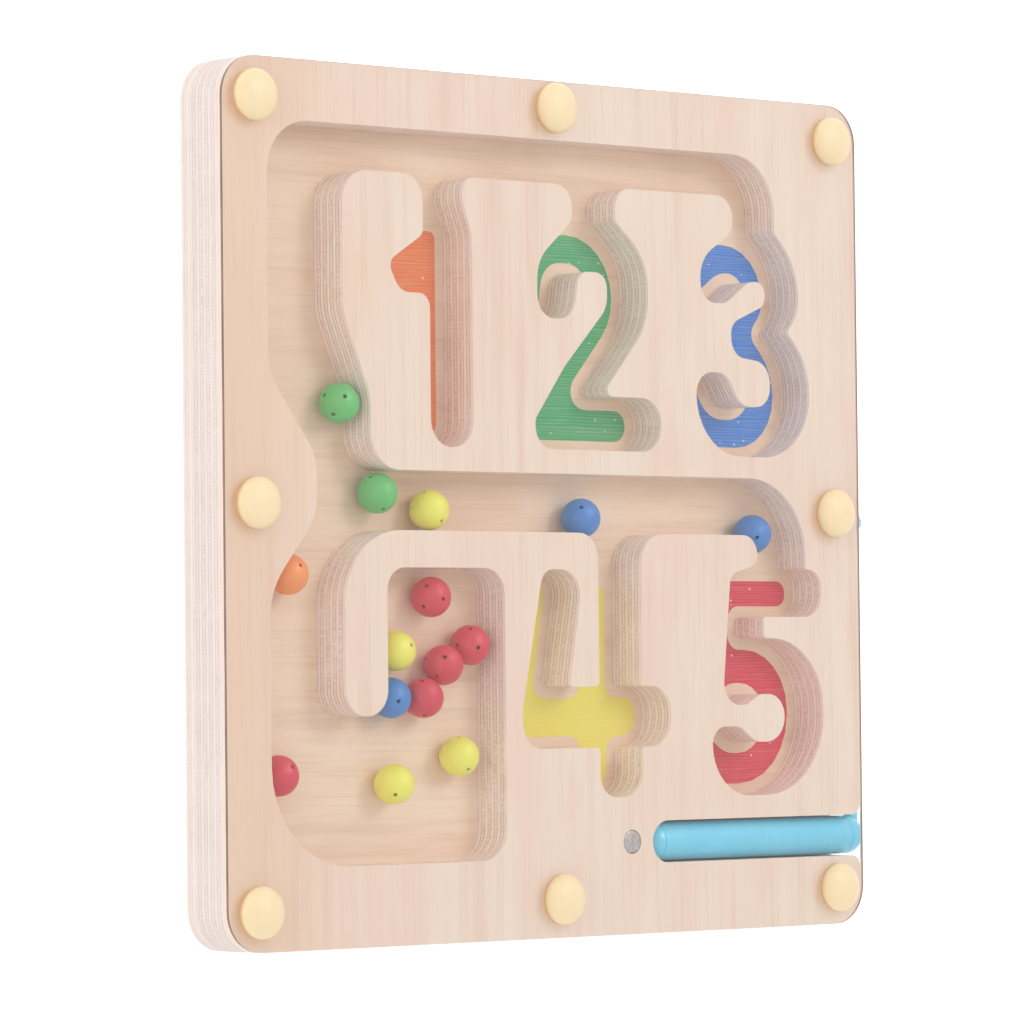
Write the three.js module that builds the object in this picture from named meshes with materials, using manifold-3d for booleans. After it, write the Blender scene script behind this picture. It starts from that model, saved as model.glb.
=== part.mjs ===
// A magnetic number maze, lying on its back. A plywood board with ball channels cut right through it
// is closed by a plywood back panel and a clear cover. Hollow plastic balls with steel cores roll in the
// channels, and a magnetic wand on a cord parks in a slot that opens at the board's right side.
// Millimetres. The origin is the middle of the back panel's underside, +Z points out of the clear cover,
// +X to the side where the wand parks and +Y to the side of the numbers one, two and three.

import * as THREE from "three";
import { mergeVertices } from "three/addons/utils/BufferGeometryUtils.js";
import Module from "manifold-3d";

const wasm = await Module();
wasm.setup();

// ---------- driving dimensions ----------

const SIDE = 300;
const HALF = SIDE / 2;
const CORNER_R = 14;
const BACK_T = 4.5;
const MAZE_T = 15;
const COVER_T = 2.5;
const MAZE_TOP = BACK_T + MAZE_T;
const COVER_TOP = MAZE_TOP + COVER_T;
const FIT = 0.3;

const WALL_ARC = Math.PI / 18;
const PRINT_ARC = Math.PI / 12;
const ROUND_SIDES = 18;
const SMALL_SIDES = 10;
const CAP_STEPS = 3;
const NOSE_STEPS = 4;
const MERGE = 1e-3;
const OVERCUT = 1;

const BALL_R = 7;
const BALL_WALL = 1.6;
const BALL_LIFT = 0.1;
const BALL_SIDES = 12;
const BALL_BELTS = 8;
const CAVITY_SIDES = 8;
const VENT_R = 0.75;
const VENT_COUNT = 3;
const VENT_TILT = (38 * Math.PI) / 180;
const VENT_SIDES = 5;
const CORE_R = 4.4;
const CORE_SIDES = 7;

const RIVET_INSET = 13.4;
const TOP_RIVET_INSET = 9.5;
const RIVET_HEAD_R = 8.9;
const RIVET_RIM = 1.6;
const RIVET_DOME = 4.2;
const RIVET_SHANK_R = 2.9;
const RIVET_DEPTH = 9;

const SLOT_Y = -117.8;
const SLOT_R = 7.5;
const SLOT_END_X = 45.3;
const SLOT_MOUTH_R = 4;

const WAND_R = 7;
const WAND_BORE_R = 4.8;
const WAND_Z = BACK_T + WAND_R + FIT;
const WAND_START_X = 46.3;
const WAND_LENGTH = 109.7;
const TIP_LENGTH = 6.2;
const TAIL_LENGTH = 8.5;
const TAIL_WALL = 2;
const SPIGOT_LENGTH = 5;
const MAGNET_R = 4;
const MAGNET_LENGTH = 8;
const BOSS_R = 2.6;
const BOSS_STRAIGHT = 9;
const BOSS_X = 153;
const BOSS_END_Y = -105.5;

const DISC_R = 4;
const DISC_T = 3;
const DISC_SINK = 0.05;
const DISC_X = 35.3;
const DISC_Y = -117.5;

const PRINT_INSET = 4.1;
const PRINT_T = 0.2;

const ANCHOR_Y = -4;
const ANCHOR_Z = 11;
const ANCHOR_SHANK_R = 2;
const ANCHOR_DEPTH = 6;
const ANCHOR_HEAD_R = 3.1;
const ANCHOR_END_X = 159;
const ANCHOR_TAPER = 4;

const CORD_R = 0.9;
const CORD_COLLAR = 0.7;
const CORD_SIDES = 8;
const CORD_STEPS = 70;
const CORD_FLOOR = CORD_R + 0.3;

// ---------- outlines: corners as [x, y, corner radius], clockwise seen from the cover ----------

const ONE_CORNERS = [
  [-38, 20.5, 9.5],
  [-57.5, 20.5, 9.5],
  [-57.5, 73.3, 5],
  [-71, 73.3, 7],
  [-76.5, 83.5, 4],
];

const TWO_CORNERS = [
  [45.8, 66.3, 25],
  [22.5, 40, 2.5],
  [51.7, 40, 9.5],
  [51.7, 20.8, 9.5],
  [-9, 20.8, 8],
  [-9, 31.3, 3],
  [5, 50, 30],
  [25.8, 71.5, 10],
  [25.8, 83.8, 5.5],
  [12.3, 83.8, 5],
  [9.5, 66.7, 8],
  [-7.5, 66.7, 8],
];

const THREE_CORNERS = [
  [121.2, 73, 15],
  [115.3, 65.7, 1.5],
  [126.3, 54.5, 27],
  [126.3, 20, 23],
  [69.2, 20, 22],
  [69.2, 50.2, 8],
  [84, 50.2, 7],
  [91.5, 38.2, 8],
  [106.2, 38.2, 7],
  [106.2, 54.2, 8],
  [87.5, 56.3, 7],
  [86.5, 68, 6],
  [104.3, 75.3, 4.5],
  [103.8, 83.9, 4.5],
  [96, 83.4, 8],
  [84.5, 75.2, 8],
  [71.8, 75.2, 7.5],
];

const FOUR_CORNERS = [
  [40.6, -62.4, 1.5],
  [54.8, -62.4, 9.5],
  [54.8, -84, 10],
  [41, -84, 1.5],
  [41, -101.7, 9.5],
  [20.3, -101.7, 8],
  [20.3, -84, 1.5],
  [-16.3, -84, 9],
  [-16.3, -70, 10],
  [-6.2, -21.2, 6],
  [13, -21.2, 9],
  [5.8, -62.4, 1.5],
  [20.2, -62.4, 1.5],
];

const FIVE_CORNERS = [
  [131.2, -20.5, 8.3],
  [131.2, -37.8, 8.3],
  [101.8, -37.8, 1.5],
  [101.8, -45.5, 1.5],
  [131.8, -45.5, 26],
  [131.8, -102.3, 29],
  [75.4, -102.3, 20],
  [75.4, -77.3, 7],
  [89.5, -77.3, 8],
  [97, -83, 8],
  [111.8, -83, 9],
  [111.8, -65.8, 8],
  [99.5, -65.8, 6],
  [93, -69.6, 5],
  [80.6, -69.6, 8],
];

// The whole channel network, as one opening in the maze board. Each number is a branch of it.
const CHANNELS = [
  [-129.7, 129.5, 18],
  [109.2, 129.5, 21],
  [109.2, 101.8, 2],
  [121.2, 90, 28],
  ...THREE_CORNERS,
  [71.8, 91, 12],
  [88, 101, 6],
  [88, 114.2, 8],
  [30, 114.2, 7],
  [30.2, 102.3, 3],
  [45.8, 89, 22],
  ...TWO_CORNERS,
  [-7.5, 87, 14],
  [9.3, 101.5, 6],
  [9.3, 114.2, 8],
  [-42.3, 114.2, 5],
  [-42.3, 106, 8],
  [-38, 94.5, 10],
  ...ONE_CORNERS,
  [-60.4, 93.5, 4],
  [-60.4, 114.2, 9],
  [-96.8, 114.2, 11],
  [-96.8, 66, 20],
  [-84.7, 37, 18],
  [-84.7, 12.3, 13],
  [123.4, 12.3, 28],
  [123.4, -20.5, 1.5],
  ...FIVE_CORNERS,
  [85.2, -22.3, 5],
  [98.8, -19, 4],
  [98.8, -8.3, 7],
  [40.8, -8.3, 11],
  ...FOUR_CORNERS,
  [20.2, -8.3, 9],
  [-96.9, -8.3, 25],
  [-96.9, -71.8, 9.2],
  [-78, -71.8, 9.2],
  [-78, -21, 8],
  [-24.3, -21, 9],
  [-24.3, -122.4, 11],
  [-129.7, -122.4, 34],
  [-129.7, -29.2, 25],
  [-109, -3.9, 16],
  [-109, 16.4, 16],
  [-129.7, 43.9, 20],
];

// The printed numbers follow the channel walls and close where the channel opens into a corridor.
const PRINTS = {
  one: [[-38, 100.4, 7], ...ONE_CORNERS, [-49.3, 100.4, 5]],
  two: [[45.8, 102, 26], ...TWO_CORNERS, [-7.5, 102, 26]],
  three: [[121.2, 102, 24], ...THREE_CORNERS, [71.8, 102, 20]],
  four: [[40.6, -22.5, 7], ...FOUR_CORNERS, [20.2, -22.5, 7]],
  five: [...FIVE_CORNERS, [85.2, -20.5, 5]],
};

const PANEL = [
  [-HALF, HALF, CORNER_R],
  [HALF, HALF, CORNER_R],
  [HALF, -HALF, CORNER_R],
  [-HALF, -HALF, CORNER_R],
];

const MAZE_PANEL = [
  [-HALF, HALF, CORNER_R],
  [HALF, HALF, CORNER_R],
  [HALF, SLOT_Y + SLOT_R, SLOT_MOUTH_R],
  [SLOT_END_X, SLOT_Y + SLOT_R, SLOT_R],
  [SLOT_END_X, SLOT_Y - SLOT_R, SLOT_R],
  [HALF, SLOT_Y - SLOT_R, SLOT_MOUTH_R],
  [HALF, -HALF, CORNER_R],
  [-HALF, -HALF, CORNER_R],
];

// ---------- pieces by place ----------

const EDGE = HALF - RIVET_INSET;

const RIVETS = {
  top_left: [-EDGE, EDGE],
  top_middle: [0, HALF - TOP_RIVET_INSET],
  top_right: [EDGE, EDGE],
  middle_left: [-EDGE, 0],
  middle_right: [EDGE, 0],
  bottom_left: [-EDGE, -EDGE],
  bottom_middle: [0, -EDGE],
  bottom_right: [EDGE, -EDGE],
};

const COLOURS = {
  orange: 0xe8884e,
  green: 0x58a86f,
  blue: 0x4b82bc,
  yellow: 0xdde063,
  red: 0xc84155,
};

const BALLS = {
  orange: [[-115.4, -23.5]],
  green: [[-92.1, 34.9], [-75.4, 4.5]],
  blue: [[19.3, -2.9], [104.1, -7.6], [-70.1, -65.6]],
  yellow: [[-51.9, -1], [-67.7, -49.5], [-39.2, -86], [-69, -95.1]],
  red: [[-51.4, -31], [-33.6, -47.6], [-46.1, -54.5], [-55.3, -65.7], [-120.3, -91.4]],
};

const PRINT_COLOURS = {
  one: 0xe2845c,
  two: 0x58a87a,
  three: 0x648cc8,
  four: 0xe2d862,
  five: 0xd45464,
};

// The cord leaves the anchor, drops to the ground, lies beside the board in one long bight and
// climbs to the boss on the wand's tail.
const CORD_ROUTE = [
  [ANCHOR_END_X + FIT, ANCHOR_Y, ANCHOR_Z],
  [161.2, -3.8, 10.8],
  [163.2, -2.7, 9.3],
  [165, -0.2, 6.4],
  [166, 4, 3.6],
  [166.5, 9, 1.9],
  [166.8, 15, CORD_FLOOR + 0.1],
  [167, 26, CORD_FLOOR],
  [167.3, 42, CORD_FLOOR],
  [167.2, 58, CORD_FLOOR],
  [166.6, 68, CORD_FLOOR],
  [164.6, 72.4, CORD_FLOOR],
  [161.4, 74, CORD_FLOOR],
  [158.2, 72.4, CORD_FLOOR],
  [156.4, 68, CORD_FLOOR],
  [156, 56, CORD_FLOOR],
  [156.3, 38, CORD_FLOOR],
  [156, 20, CORD_FLOOR],
  [155.4, 0, CORD_FLOOR],
  [155.9, -20, CORD_FLOOR],
  [157.2, -40, CORD_FLOOR],
  [157.8, -58, CORD_FLOOR],
  [157.2, -71, CORD_FLOOR + 0.1],
  [156.3, -80, 2.2],
  [154.8, -88, 4.8],
  [153.7, -94.5, 8.6],
  [153.1, -100, 11.2],
  [BOSS_X, BOSS_END_Y + FIT, WAND_Z],
];

// ---------- geometry helpers ----------

// Tangent length, centre and sweep of the arc that rounds one corner of a closed outline.
function cornerArc(before, [x, y, r], after) {
  const inward = new THREE.Vector2(before[0] - x, before[1] - y);
  const outward = new THREE.Vector2(after[0] - x, after[1] - y);
  const room = Math.min(inward.length(), outward.length());
  inward.normalize();
  outward.normalize();
  const half = Math.acos(THREE.MathUtils.clamp(inward.dot(outward), -1, 1)) / 2;
  const reach = Math.min(r / Math.tan(half), room);
  return { inward, outward, half, reach };
}

// How much of a side two neighbouring arcs may fill, and the smallest arc worth drawing.
const SIDE_SHARE = 0.998;
const SMALLEST_ARC = 0.05;

// Points of a closed outline whose corners [x, y, r] are rounded by arcs. Where two neighbouring arcs
// would run into each other, both shrink until they meet.
function roundedOutline(corners, arcStep = WALL_ARC) {
  const count = corners.length;
  const arcs = corners.map((corner, i) =>
    cornerArc(corners[(i + count - 1) % count], corner, corners[(i + 1) % count]),
  );
  const shrink = arcs.map(() => 1);
  for (let i = 0; i < count; i++) {
    const j = (i + 1) % count;
    const length = Math.hypot(corners[j][0] - corners[i][0], corners[j][1] - corners[i][1]);
    const ratio = Math.min(1, (length * SIDE_SHARE) / (arcs[i].reach + arcs[j].reach));
    shrink[i] = Math.min(shrink[i], ratio);
    shrink[j] = Math.min(shrink[j], ratio);
  }
  return corners.flatMap(([x, y], i) => arcPoints(new THREE.Vector2(x, y), arcs[i], shrink[i], arcStep));
}

function arcPoints(corner, { inward, outward, half, reach }, shrink, arcStep) {
  const tangent = reach * shrink;
  const radius = tangent * Math.tan(half);
  const start = corner.clone().addScaledVector(inward, tangent);
  const middle = inward.clone().add(outward).normalize();
  const centre = corner.clone().addScaledVector(middle, tangent / Math.cos(half));
  const side = Math.sign(inward.cross(outward));
  const sweep = side * (Math.PI - 2 * half);
  const steps = Math.max(2, Math.ceil(Math.abs(sweep) / arcStep));
  const points = [];
  for (let k = 0; k <= steps; k++) {
    const arm = start.clone().sub(centre);
    points.push(arm.rotateAround(new THREE.Vector2(), (-sweep * k) / steps).add(centre));
  }
  return radius > SMALLEST_ARC ? points : [corner];
}

// The same corners, moved inward by a distance: a corner that bulges out of the shape gets a smaller
// radius and one that cuts into it gets a larger one. The corners run clockwise.
function insetCorners(corners, distance) {
  const count = corners.length;
  return corners.map(([x, y, r], i) => {
    const [bx, by] = corners[(i + count - 1) % count];
    const [ax, ay] = corners[(i + 1) % count];
    const into = new THREE.Vector2(x - bx, y - by).normalize();
    const out = new THREE.Vector2(ax - x, ay - y).normalize();
    const turn = into.cross(out);
    const bend = 1 + into.dot(out);
    const shiftX = (distance * (into.y + out.y)) / bend;
    const shiftY = (-distance * (into.x + out.x)) / bend;
    const radius = turn < 0 ? Math.max(r - distance, 1) : r + distance;
    return [x + shiftX, y + shiftY, radius];
  });
}

function plate(shape, thickness, bottom) {
  const geometry = new THREE.ExtrudeGeometry(shape, { depth: thickness, bevelEnabled: false });
  geometry.translate(0, 0, bottom);
  return geometry;
}

// A hole runs the other way round than the outline it is cut from.
function circleHole([x, y], radius) {
  return new THREE.Path().absarc(x, y, radius, 0, 2 * Math.PI, false);
}

// A round piece from its profile of [radius, height] points, standing along +Z.
function turned(profile, sides) {
  const geometry = new THREE.LatheGeometry(
    profile.map(([r, h]) => new THREE.Vector2(r, h)),
    sides,
  );
  geometry.rotateX(Math.PI / 2);
  return geometry;
}

function rod(radius, from, to, sides) {
  return turned([[0, from], [radius, from], [radius, to], [0, to]], sides);
}

// A quarter of a rounded end: from the side wall at (radius, base) to the axis at (0, base + rise).
function domeProfile(radius, base, rise, steps) {
  const points = [];
  for (let k = 0; k <= steps; k++) {
    const angle = (k / steps) * (Math.PI / 2);
    points.push([k === steps ? 0 : radius * Math.cos(angle), base + rise * Math.sin(angle)]);
  }
  return points;
}

// A closed solid for cutting and joining. The slivers that a turned piece has at its axis are dropped.
function toSolid(geometry) {
  const bare = geometry.index ? geometry.toNonIndexed() : geometry.clone();
  bare.deleteAttribute("normal");
  bare.deleteAttribute("uv");
  const merged = mergeVertices(bare, MERGE);
  const index = merged.index.array;
  const triVerts = [];
  for (let i = 0; i < index.length; i += 3) {
    const [a, b, c] = index.slice(i, i + 3);
    if (a !== b && b !== c && c !== a) triVerts.push(a, b, c);
  }
  return new wasm.Manifold(
    new wasm.Mesh({
      numProp: 3,
      vertProperties: merged.attributes.position.array,
      triVerts: new Uint32Array(triVerts),
    }),
  );
}

function toGeometry(solid) {
  const mesh = solid.getMesh();
  const geometry = new THREE.BufferGeometry();
  geometry.setAttribute("position", new THREE.BufferAttribute(mesh.vertProperties, 3));
  geometry.setIndex(new THREE.BufferAttribute(mesh.triVerts, 1));
  geometry.computeVertexNormals();
  return geometry;
}

function cut(geometry, tools) {
  return toGeometry(tools.reduce((solid, tool) => solid.subtract(toSolid(tool)), toSolid(geometry)));
}

function join(geometry, others) {
  return toGeometry(others.reduce((solid, other) => solid.add(toSolid(other)), toSolid(geometry)));
}

// ---------- materials ----------

function finish(color, roughness, metalness = 0) {
  return new THREE.MeshStandardMaterial({ color, roughness, metalness });
}

const maplePly = () => finish(0xecd6c4, 0.65);
const backPly = () => finish(0xdec6a8, 0.65);
const clearSheet = () =>
  new THREE.MeshStandardMaterial({
    color: 0xf4f8fa,
    roughness: 0.05,
    metalness: 0,
    transparent: true,
    opacity: 0.25,
  });
const creamPlastic = () => finish(0xfae4b6, 0.4);
const wandPlastic = () => finish(0x7dcbe2, 0.3);
const steel = () => finish(0xbeb4b4, 0.4, 1);
const cordYarn = () => finish(0xb9dfec, 0.8);

// ---------- pieces ----------

const toy = new THREE.Group();

function place(name, geometry, material, position = [0, 0, 0], parent = toy) {
  const mesh = new THREE.Mesh(geometry, material);
  mesh.name = name;
  mesh.position.set(...position);
  parent.add(mesh);
}

function backPanel() {
  return plate(new THREE.Shape(roundedOutline(PANEL)), BACK_T, 0);
}

function mazeBoard() {
  const shape = new THREE.Shape(roundedOutline(MAZE_PANEL));
  shape.holes.push(new THREE.Path(roundedOutline(CHANNELS).reverse()));
  const pockets = Object.values(RIVETS).map(([x, y]) => {
    const hole = rod(RIVET_SHANK_R + FIT, MAZE_TOP - RIVET_DEPTH - FIT, COVER_TOP, SMALL_SIDES);
    return hole.translate(x, y, 0);
  });
  const seat = rod(DISC_R + FIT, MAZE_TOP - DISC_T - FIT, COVER_TOP, ROUND_SIDES);
  pockets.push(seat.translate(DISC_X, DISC_Y, 0));
  const socket = rod(ANCHOR_SHANK_R + FIT, HALF - ANCHOR_DEPTH - FIT, HALF + OVERCUT, SMALL_SIDES);
  pockets.push(socket.rotateY(Math.PI / 2).translate(0, ANCHOR_Y, ANCHOR_Z));
  return cut(plate(shape, MAZE_T, BACK_T), pockets);
}

function clearCover() {
  const shape = new THREE.Shape(roundedOutline(PANEL));
  Object.values(RIVETS).forEach((at) => shape.holes.push(circleHole(at, RIVET_SHANK_R + FIT)));
  const geometry = new THREE.ExtrudeGeometry(shape, {
    depth: COVER_T,
    bevelEnabled: false,
    curveSegments: SMALL_SIDES / 2,
  });
  return geometry.translate(0, 0, MAZE_TOP);
}

// A cap with a low rim and a dome, on a shank that goes through the cover into the maze board.
function rivet() {
  const shank = [
    [0, MAZE_TOP - RIVET_DEPTH],
    [RIVET_SHANK_R, MAZE_TOP - RIVET_DEPTH],
    [RIVET_SHANK_R, COVER_TOP],
    [RIVET_HEAD_R, COVER_TOP],
  ];
  const cap = domeProfile(RIVET_HEAD_R, COVER_TOP + RIVET_RIM, RIVET_DOME, CAP_STEPS);
  return turned([...shank, ...cap], ROUND_SIDES);
}

// A hollow ball with three vent holes round each pole, drilled straight through its centre.
function ballShell() {
  const outside = new THREE.SphereGeometry(BALL_R, BALL_SIDES, BALL_BELTS);
  const inside = new THREE.SphereGeometry(BALL_R - BALL_WALL, CAVITY_SIDES, CAVITY_SIDES - 2);
  const drills = [];
  for (let k = 0; k < VENT_COUNT; k++) {
    const drill = rod(VENT_R, -BALL_R - OVERCUT, BALL_R + OVERCUT, VENT_SIDES);
    drills.push(drill.rotateX(VENT_TILT).rotateZ((2 * Math.PI * k) / VENT_COUNT));
  }
  return cut(outside, [inside, ...drills]);
}

function ballCore() {
  return new THREE.SphereGeometry(CORE_R, CORE_SIDES, CORE_SIDES - 2);
}

function print(corners) {
  const outline = roundedOutline(insetCorners(corners, PRINT_INSET), PRINT_ARC);
  return plate(new THREE.Shape(outline), PRINT_T, BACK_T);
}

function keeperDisc() {
  return rod(DISC_R, MAZE_TOP - DISC_T, MAZE_TOP - DISC_SINK, ROUND_SIDES);
}

// The wand's pieces are turned about its own axis, which starts at the tip and runs to the tail.

function wandBarrel() {
  const from = TIP_LENGTH + FIT;
  const to = WAND_LENGTH - TAIL_LENGTH - FIT;
  return turned(
    [[WAND_BORE_R, from], [WAND_R, from], [WAND_R, to], [WAND_BORE_R, to], [WAND_BORE_R, from]],
    ROUND_SIDES,
  );
}

function wandTip() {
  const spigotR = WAND_BORE_R - FIT;
  const end = TIP_LENGTH + SPIGOT_LENGTH;
  const nose = domeProfile(WAND_R, -TIP_LENGTH, TIP_LENGTH, NOSE_STEPS).map(([r, h]) => [r, -h]).reverse();
  const body = turned(
    [...nose, [spigotR, TIP_LENGTH], [spigotR, end], [0, end]],
    ROUND_SIDES,
  );
  const pocket = rod(MAGNET_R + FIT / 2, end - MAGNET_LENGTH, end + OVERCUT, ROUND_SIDES);
  return cut(body, [pocket]);
}

function wandMagnet() {
  const end = TIP_LENGTH + SPIGOT_LENGTH;
  return rod(MAGNET_R - FIT / 2, end - MAGNET_LENGTH + FIT, end - FIT, SMALL_SIDES);
}

function wandTail() {
  const start = WAND_LENGTH - TAIL_LENGTH;
  const spigotR = WAND_BORE_R - FIT;
  const end = domeProfile(WAND_R, start + TAIL_WALL, TAIL_LENGTH - TAIL_WALL, NOSE_STEPS);
  return turned(
    [[0, start - SPIGOT_LENGTH], [spigotR, start - SPIGOT_LENGTH], [spigotR, start], [WAND_R, start], ...end],
    ROUND_SIDES,
  );
}

// The boss on the tail that the cord comes out of, pointing to +Y.
function tailBoss() {
  const reach = BOSS_END_Y - SLOT_Y;
  const boss = turned(
    [[0, 0], [BOSS_R, 0], [BOSS_R, BOSS_STRAIGHT], [CORD_R + CORD_COLLAR, reach], [0, reach]],
    SMALL_SIDES,
  );
  return boss.rotateX(-Math.PI / 2).translate(BOSS_X, SLOT_Y, WAND_Z);
}

function alongWand(geometry) {
  return geometry.rotateY(Math.PI / 2).translate(WAND_START_X, SLOT_Y, WAND_Z);
}

// The stub that holds the cord's other end, pressed into the board's side and pointing to +X.
function cordAnchor() {
  const profile = [
    [0, HALF - ANCHOR_DEPTH],
    [ANCHOR_SHANK_R, HALF - ANCHOR_DEPTH],
    [ANCHOR_SHANK_R, HALF + FIT],
    [ANCHOR_HEAD_R, HALF + FIT],
    [ANCHOR_HEAD_R, ANCHOR_END_X - ANCHOR_TAPER],
    [CORD_R + CORD_COLLAR, ANCHOR_END_X],
    [0, ANCHOR_END_X],
  ];
  return turned(profile, SMALL_SIDES).rotateY(Math.PI / 2).translate(0, ANCHOR_Y, ANCHOR_Z);
}

function tetherCord() {
  const route = new THREE.CatmullRomCurve3(CORD_ROUTE.map((p) => new THREE.Vector3(...p)));
  const section = new THREE.Shape();
  for (let k = 0; k < CORD_SIDES; k++) {
    const angle = (2 * Math.PI * k) / CORD_SIDES;
    const corner = [CORD_R * Math.cos(angle), CORD_R * Math.sin(angle)];
    if (k === 0) section.moveTo(...corner);
    else section.lineTo(...corner);
  }
  return new THREE.ExtrudeGeometry(section, {
    steps: CORD_STEPS,
    extrudePath: route,
    bevelEnabled: false,
  });
}

// ---------- assembly ----------

place("back_panel", backPanel(), backPly());
place("maze_board", mazeBoard(), maplePly());
place("clear_cover", clearCover(), clearSheet());

const rivetGeometry = rivet();
for (const [where, [x, y]] of Object.entries(RIVETS)) {
  place(`rivet_${where}`, rivetGeometry, creamPlastic(), [x, y, 0]);
}

for (const [number, corners] of Object.entries(PRINTS)) {
  place(`print_${number}`, print(corners), finish(PRINT_COLOURS[number], 0.6));
}

place("keeper_disc", keeperDisc(), steel(), [DISC_X, DISC_Y, 0]);

const shellGeometry = ballShell();
const coreGeometry = ballCore();
for (const [colour, spots] of Object.entries(BALLS)) {
  spots.forEach(([x, y], i) => {
    const centre = [x, y, BACK_T + BALL_LIFT + BALL_R];
    place(`ball_${colour}_${i + 1}`, shellGeometry, finish(COLOURS[colour], 0.35), centre);
    place(`core_${colour}_${i + 1}`, coreGeometry, steel(), centre);
  });
}

place("wand_barrel", alongWand(wandBarrel()), wandPlastic());
place("wand_tip", alongWand(wandTip()), wandPlastic());
place("wand_magnet", alongWand(wandMagnet()), steel());
place("wand_tail", join(alongWand(wandTail()), [tailBoss()]), wandPlastic());
place("cord_anchor", cordAnchor(), wandPlastic());
place("tether_cord", tetherCord(), cordYarn());

export default toy;
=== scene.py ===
"""A magnetic number maze lying on its back.

A plywood board with ball channels under a clear cover, hollow balls with vent holes,
printed numbers, and a wand on a cord. Metres, same frame as the CAD.
"""

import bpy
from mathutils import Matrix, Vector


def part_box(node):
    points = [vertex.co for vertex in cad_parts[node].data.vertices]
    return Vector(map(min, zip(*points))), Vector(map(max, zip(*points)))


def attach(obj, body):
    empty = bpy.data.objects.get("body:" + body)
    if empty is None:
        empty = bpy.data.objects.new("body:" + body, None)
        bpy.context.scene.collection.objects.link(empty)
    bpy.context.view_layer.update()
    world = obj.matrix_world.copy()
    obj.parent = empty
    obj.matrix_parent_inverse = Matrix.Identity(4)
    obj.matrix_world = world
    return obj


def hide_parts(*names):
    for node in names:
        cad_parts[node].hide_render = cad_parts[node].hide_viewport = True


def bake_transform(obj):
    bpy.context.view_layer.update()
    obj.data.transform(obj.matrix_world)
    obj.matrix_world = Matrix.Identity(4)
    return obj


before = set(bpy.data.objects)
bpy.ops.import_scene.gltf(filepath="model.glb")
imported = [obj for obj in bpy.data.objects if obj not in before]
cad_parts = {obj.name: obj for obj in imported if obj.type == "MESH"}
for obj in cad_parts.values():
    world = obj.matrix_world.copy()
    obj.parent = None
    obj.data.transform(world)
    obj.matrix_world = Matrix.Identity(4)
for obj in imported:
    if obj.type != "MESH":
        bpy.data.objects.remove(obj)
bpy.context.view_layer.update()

import math

import bmesh
import bpy
from mathutils import Euler, Matrix, Vector

MM = 0.001
BOARD = "frame"
WAND = "wand"

# ---------- sizes taken from the frame ----------

back_low, back_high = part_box("back_panel")
maze_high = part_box("maze_board")[1]
cover_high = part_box("clear_cover")[1]
BACK_T = back_high.z - back_low.z
MAZE_TOP = maze_high.z
COVER_TOP = cover_high.z
HALF = maze_high.x

RIVETS = [
    "top_left",
    "top_middle",
    "top_right",
    "middle_left",
    "middle_right",
    "bottom_left",
    "bottom_middle",
    "bottom_right",
]

# ---------- camera ----------

CAMERA_DISTANCE = 1.950
CAMERA_YAW = math.radians(42.51)
CAMERA_PITCH = math.radians(-1.83)
CAMERA_ROLL = math.radians(-0.60)
CAMERA_LENS = 195.79
CAMERA_ASIDE = math.radians(0.47531052)
CAMERA_ABOVE = math.radians(0.03600919)
SENSOR_WIDTH = 36
FARTHEST = 20


def make_camera():
    """Looks at the cover's middle from its left front, with the board's +Y upright."""
    back = Vector(
        (
            -math.sin(CAMERA_YAW) * math.cos(CAMERA_PITCH),
            math.sin(CAMERA_PITCH),
            math.cos(CAMERA_YAW) * math.cos(CAMERA_PITCH),
        )
    )
    right = Vector((0, 1, 0)).cross(back).normalized()
    up = back.cross(right)
    turn = Matrix((right, up, back)).transposed().to_4x4()
    turn = turn @ Matrix.Rotation(CAMERA_ROLL, 4, "Z")
    turn = turn @ Matrix.Rotation(CAMERA_ASIDE, 4, "Y") @ Matrix.Rotation(-CAMERA_ABOVE, 4, "X")
    target = Vector((0, 0, COVER_TOP))
    data = bpy.data.cameras.new("camera")
    data.lens = CAMERA_LENS
    data.sensor_width = SENSOR_WIDTH
    data.clip_end = FARTHEST
    camera = bpy.data.objects.new("camera", data)
    camera.matrix_world = Matrix.Translation(target + CAMERA_DISTANCE * back) @ turn
    bpy.context.scene.collection.objects.link(camera)
    bpy.context.scene.camera = camera


make_camera()

# ---------- mesh helpers ----------

WELD = 1e-6
FLAT_ANGLE = math.radians(1)
BEVEL_ANGLE = math.radians(40)
LEVEL = 1e-5
ARC_STEP = 15


def add_object(name, mesh):
    made = bpy.data.objects.new(name, mesh)
    bpy.context.scene.collection.objects.link(made)
    return made


def mesh_from(bm, name):
    mesh = bpy.data.meshes.new(name)
    bmesh.ops.recalc_face_normals(bm, faces=bm.faces)
    bm.to_mesh(mesh)
    bm.free()
    return mesh


def even_faces(obj):
    """Keeps flat faces flat beside rounded edges: larger faces lead the normals."""
    weights = obj.modifiers.new("even_faces", "WEIGHTED_NORMAL")
    weights.weight = 100
    weights.keep_sharp = True


def shade(mesh, crease=35):
    """Smooth shading, sharp where faces meet at more than the crease angle."""
    bm = bmesh.new()
    bm.from_mesh(mesh)
    for face in bm.faces:
        face.smooth = True
    for edge in bm.edges:
        if len(edge.link_faces) == 2:
            edge.smooth = edge.calc_face_angle(0) < math.radians(crease)
    bm.to_mesh(mesh)
    bm.free()


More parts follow.
